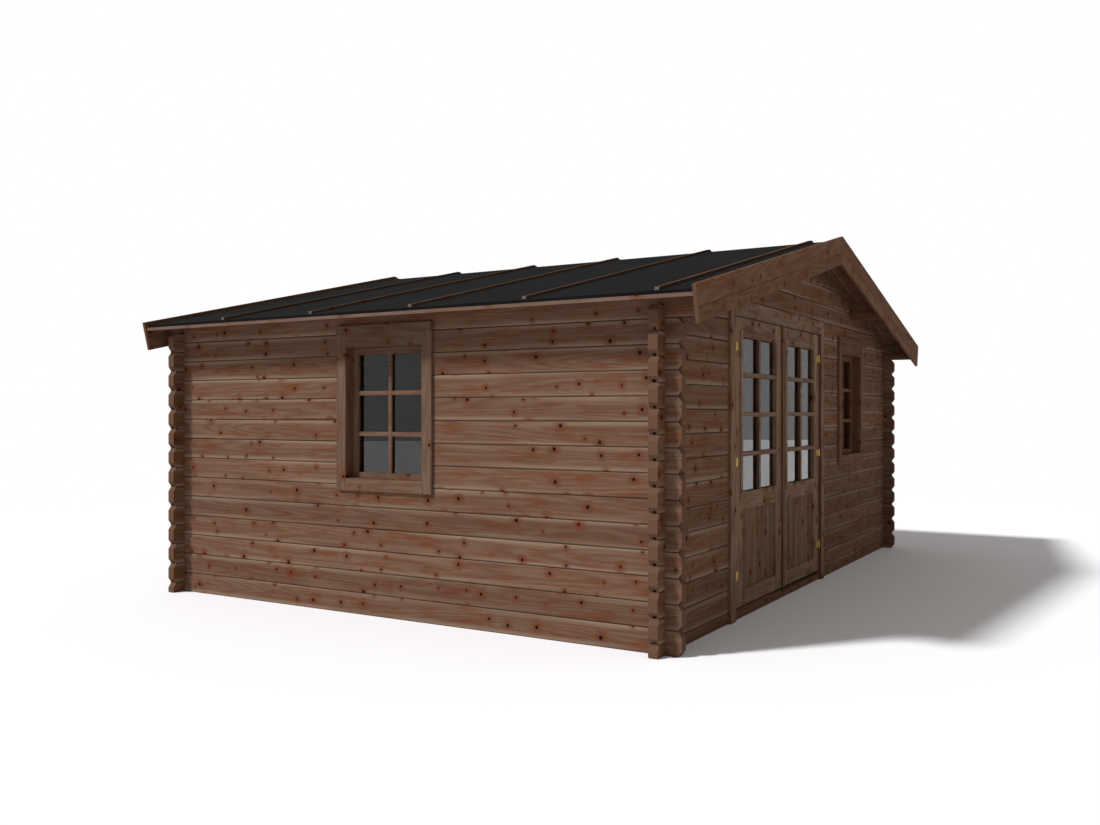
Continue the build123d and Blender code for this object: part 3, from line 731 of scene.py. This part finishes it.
# Bare drawn brass: a soft gold shine, duller and browner where tarnish clouds it.
brass, tree = new_finish("drawn brass hinge")
place = node(tree, "ShaderNodeTexCoord").outputs["Object"]
haze = node(tree, "ShaderNodeTexNoise", {"Vector": place, "Scale": 90.0, "Detail": 3.0})
tarnish = node(tree, "ShaderNodeMix", {
    0: node(tree, "ShaderNodeMapRange", {0: haze, 1: 0.4, 2: 0.7}),
    6: linear("#d2b468"), 7: linear("#94763a"),
}, data_type="RGBA")
node(tree, "ShaderNodeOutputMaterial", {"Surface": node(tree, "ShaderNodeBsdfPrincipled", {
    "Base Color": tarnish.outputs[2], "Metallic": 1.0,
    "Roughness": node(tree, "ShaderNodeMapRange", {0: haze, 3: 0.38, 4: 0.6}),
})})
dress(brass, "left_leaf_hinges", "right_leaf_hinges", "door_frame_hinges")

plate_face = leaf_face - 0.0025
screw_head = 0.0038
screw_bevel = 0.0004
screw_proud = 0.0006
cross_reach = 0.0022
cross_waist = 0.0008
cross_depth = 0.0005


def screws(name, body, places):
    """Countersunk screws with a cross recess, at places (x, z) on the hinge plates. Two rings
    are the head's edge, and two crosses the recess: one at its brim, one on its floor."""
    points, faces = [], []
    for x, z in places:
        first = len(points)
        for radius, proud in (
            (screw_head, 0), (screw_head - screw_bevel, screw_proud),
            (0, screw_proud), (0, screw_proud - cross_depth),
        ):
            for k in range(16):
                turn = math.tau * k / 16
                reach = radius or (cross_reach if k % 4 == 0 else cross_waist)
                points.append((
                    x + reach * math.cos(turn), plate_face - proud, z + reach * math.sin(turn),
                ))
        rings = [[first + 16 * ring + k for k in range(16)] for ring in range(4)]
        for near, far in zip(rings, rings[1:]):
            faces += [(near[k], near[(k + 1) % 16], far[(k + 1) % 16], far[k]) for k in range(16)]
        faces.append(rings[3])
    one_piece(name, [mesh_of(name, points, faces, brass)], body)


hinge_heights = (0.291, 1.032, 1.790)
leaf_plate = ((0.018, -0.015), (0.018, 0.015), (0.036, 0.0))
frame_plate = ((-0.019, -0.015), (-0.019, 0.015))
frame_screws = []
for body, inward in (("left_leaf", 1), ("right_leaf", -1)):
    axis = door_middle - inward * door_half
    screws(f"{body}_hinge_screws", body, [
        (axis + inward * aside, height + up) for height in hinge_heights
        for aside, up in leaf_plate
    ])
    frame_screws += [
        (axis + inward * aside, height + up) for height in hinge_heights
        for aside, up in frame_plate
    ]
screws("door_frame_hinge_screws", "shed", frame_screws)


def upright_boards(width, start):
    """How upright boards lie side by side across the front: width one board, start an edge."""
    def lay(tree, point, facing):
        number, aside, across = parted(tree, point[0], start, width)
        rim = node(tree, "ShaderNodeMapRange", {0: aside, 1: 0.3, 2: 0.47})
        return point[2], across, point[1], number, end_cut(tree, facing[2], 0.8), rim
    return lay


panel_count = 5
panel_chamfer = 0.004
for hand, step in (("left", 1.0), ("right", 8.0)):
    low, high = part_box(f"{hand}_leaf_frame")
    pane_low, pane_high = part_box(f"{hand}_leaf_glass")
    panel_low, panel_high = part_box(f"{hand}_leaf_panel")
    body = f"{hand}_leaf"
    leaf_pine = impregnated_pine(
        f"planed {hand} door leaf", upright_between(0, low.x + stile, high.x - stile, step=step),
        light="#806b56", dark="#634c3b", patch="#5f3d2b",
    )
    dress(leaf_pine, f"{hand}_leaf_frame")
    glazing_bars(
        f"{hand}_leaf_bars", facing_front, pane_low.x + raised_frame, pane_high.x - raised_frame,
        pane_low.z + raised_frame, pane_high.z - raised_frame, door_rows, door_bars, leaf_pine,
        body,
    )
    width = (panel_high.x - panel_low.x) / panel_count
    panel_pine = impregnated_pine(
        f"planed {hand} panel board",
        upright_boards(width, panel_low.x - step * panel_count * width),
        light="#6f5944", dark="#56402f",
    )
    first_board = Matrix.Translation((
        panel_low.x + width / 2, (panel_low.y + panel_high.y) / 2, panel_low.z,
    ))
    boards = row_of_boards(
        first_board, panel_pine, panel_count, width, width - hairline,
        panel_high.y - panel_low.y, panel_high.z - panel_low.z, panel_chamfer,
    )
    panel = one_piece(f"{hand}_leaf_panel_boards", [boards], body)
    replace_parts(panel, f"{hand}_leaf_panel")

# The strip is a single board: one 2 m wide from x = -1.5 m holds all of it.
strip_pine = impregnated_pine("planed cover strip", upright_boards(2.0, -1.5))
dress(strip_pine, "right_leaf_cover_strip")

# Stage
# A round pale floor fades to the white background, under soft daylight from the left rear.
# The front lies in shade. A grey studio wall round the floor only shows in glass and metal.

floor_reach = 44.0
fade_start = 5.0
fade_stop = 9.5
wall_height = 60.0
rim_count = 96
rim_points = [
    (floor_reach * math.cos(math.tau * k / rim_count),
     floor_reach * math.sin(math.tau * k / rim_count))
    for k in range(rim_count)
]
paper, tree = new_finish("matt white floor")
spot = node(tree, "ShaderNodeTexCoord").outputs["Object"]
far = node(tree, "ShaderNodeMapRange", {
    0: node(tree, "ShaderNodeVectorMath", {0: spot}, operation="LENGTH").outputs["Value"],
    1: fade_start, 2: fade_stop,
}, interpolation_type="SMOOTHSTEP")
fade = node(tree, "ShaderNodeMath", {
    0: node(tree, "ShaderNodeLightPath").outputs["Is Camera Ray"], 1: far,
}, operation="MULTIPLY")
node(tree, "ShaderNodeOutputMaterial", {"Surface": node(tree, "ShaderNodeMixShader", {
    0: fade,
    1: node(tree, "ShaderNodeBsdfDiffuse", {"Color": linear("#e9e7e7")}),
    2: node(tree, "ShaderNodeEmission", {"Color": (1, 1, 1, 1), "Strength": 1.0}),
})})
floor = placed("studio_floor", mesh_of(
    "studio_floor", [(x, y, 0) for x, y in rim_points], [tuple(range(rim_count))], paper,
))

cloth, tree = new_finish("grey studio cloth")
node(tree, "ShaderNodeOutputMaterial", {"Surface": node(tree, "ShaderNodeEmission", {
    "Color": linear("#a4a2a4"), "Strength": 1.0,
})})
studio_wall = placed("studio_wall", mesh_of(
    "studio_wall", [(x, y, z) for z in (0.0, wall_height) for x, y in rim_points],
    [((k + 1) % rim_count, k, rim_count + k, rim_count + (k + 1) % rim_count)
     for k in range(rim_count)],
    cloth,
))
studio_wall.visible_camera = False
studio_wall.visible_diffuse = False
studio_wall.visible_transmission = False
studio_wall.visible_shadow = False

sun = bpy.data.lights.new("sun", "SUN")
sun.energy = 3.82
sun.color = (0.985, 1.0, 1.04)
sun.angle = math.radians(7)
towards_sun = Vector((-0.69, 0.58, 1.0))
sun_object = placed("sun", sun)
sun_object.rotation_euler = towards_sun.to_track_quat("Z", "Y").to_euler()

world = bpy.data.worlds.new("studio")
bpy.context.scene.world = world
world.use_nodes = True
tree = world.node_tree
tree.nodes.clear()
ray = node(tree, "ShaderNodeLightPath").outputs
seen = node(tree, "ShaderNodeMath", {
    0: node(tree, "ShaderNodeMath", {0: ray["Is Camera Ray"], 1: ray["Is Glossy Ray"]},
            operation="MAXIMUM"),
    1: ray["Is Transmission Ray"],
}, operation="MAXIMUM")
node(tree, "ShaderNodeOutputWorld", {"Surface": node(tree, "ShaderNodeMixShader", {
    0: seen,
    1: node(tree, "ShaderNodeBackground", {0: linear("#fffefd"), 1: 0.41}),
    2: node(tree, "ShaderNodeBackground", {0: (1, 1, 1, 1), 1: 1.0}),
})})

camera = bpy.data.cameras.new("camera")
camera.sensor_width = 36.0
camera.lens = 32.91
camera.shift_x = -0.0018
camera.shift_y = 0.0002
camera.clip_end = 500.0
camera_object = placed("camera", camera)
camera_object.location = (-7.798, -4.359, 1.355)
camera_object.rotation_euler = (math.radians(90), 0, math.radians(-59.13))
bpy.context.scene.camera = camera_object

bpy.context.scene.view_settings.view_transform = "Standard"

bpy.context.view_layer.update()
